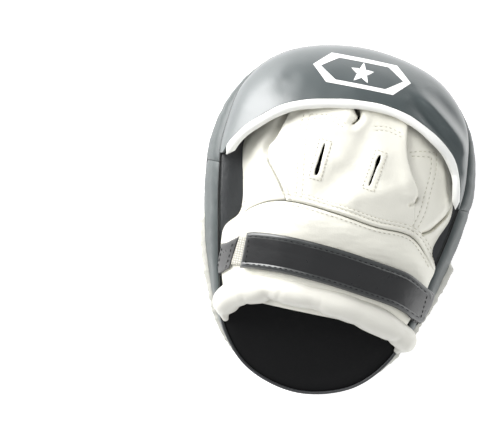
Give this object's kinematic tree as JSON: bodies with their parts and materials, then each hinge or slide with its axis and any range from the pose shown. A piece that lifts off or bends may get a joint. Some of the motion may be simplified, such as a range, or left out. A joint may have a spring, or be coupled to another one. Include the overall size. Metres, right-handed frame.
{
  "type": "focus mitt",
  "caption": "Curved boxing focus mitt: foam pad with a black strike face, white leather hand pocket, padded finger hood, wrist roll and a hook-and-loop wrist strap that peels open.",
  "frame": {"origin": "centre of the footprint, on the table the mitt lies on, strike face down", "axes": "+Z out of the back of the hand, +Y towards the fingertips, +X towards the strap's free end"},
  "size_m": [0.2054, 0.2686, 0.1038],
  "materials": {
    "strike_cover": "matte",
    "target_print": "satin",
    "foam_dense": "matte",
    "foam_core": "matte",
    "foam_soft": "matte",
    "gusset": "satin",
    "white_band": "satin",
    "back_leather": "matte",
    "dark_piping": "satin",
    "lining": "matte",
    "white_leather": "satin",
    "hood_leather": "gloss",
    "white_piping": "satin",
    "roll_leather": "satin",
    "roll_foam": "matte",
    "strap_webbing": "matte",
    "elastic": "matte",
    "hook_tape": "matte",
    "loop_tape": "matte"
  },
  "bodies": {
    "mitt": {"strike_cover": "strike_cover", "target_disc": "target_print", "strike_foam": "foam_dense", "core_foam": "foam_core", "backing_foam": "foam_soft", "finger_end_gusset": "gusset", "wrist_end_gusset": "gusset", "white_side_band": "white_band", "back_panel": "back_leather", "wrist_edge_piping": "dark_piping", "palm_ball": "lining", "palm_lining": "lining", "index_finger_stall": "white_leather", "middle_finger_stall": "white_leather", "ring_finger_stall": "white_leather", "little_finger_stall": "white_leather", "wrist_cuff": "white_leather", "hand_back_panel": "white_leather", "thumb_panel": "white_leather", "little_finger_panel": "white_leather", "left_vent_patch": "white_leather", "right_vent_patch": "white_leather", "wrist_roll_cover": "roll_leather", "wrist_roll_foam": "roll_foam", "finger_hood": "hood_leather", "hood_piping": "white_piping", "strap_anchor_tab": "strap_webbing", "strap_elastic": "elastic", "loop_tape": "loop_tape"},
    "strap": {"strap": "strap_webbing", "hook_tape": "hook_tape"},
    "strap_tip": {"strap_tip": "strap_webbing", "tip_hook_tape": "hook_tape"}
  },
  "joints": [
    {"name": "strap_peel", "type": "hinge", "parent": "mitt", "child": "strap", "pos_m": [-0.06, -0.0356, 0.0799], "axis": [0, -0.9974, -0.0722], "range_deg": [0, 150]},
    {"name": "tip_peel", "type": "hinge", "parent": "strap", "child": "strap_tip", "pos_m": [0.05815, -0.0409, 0.0845], "axis": [0, -0.9655, -0.2604], "range_deg": [0, 70]}
  ]
}
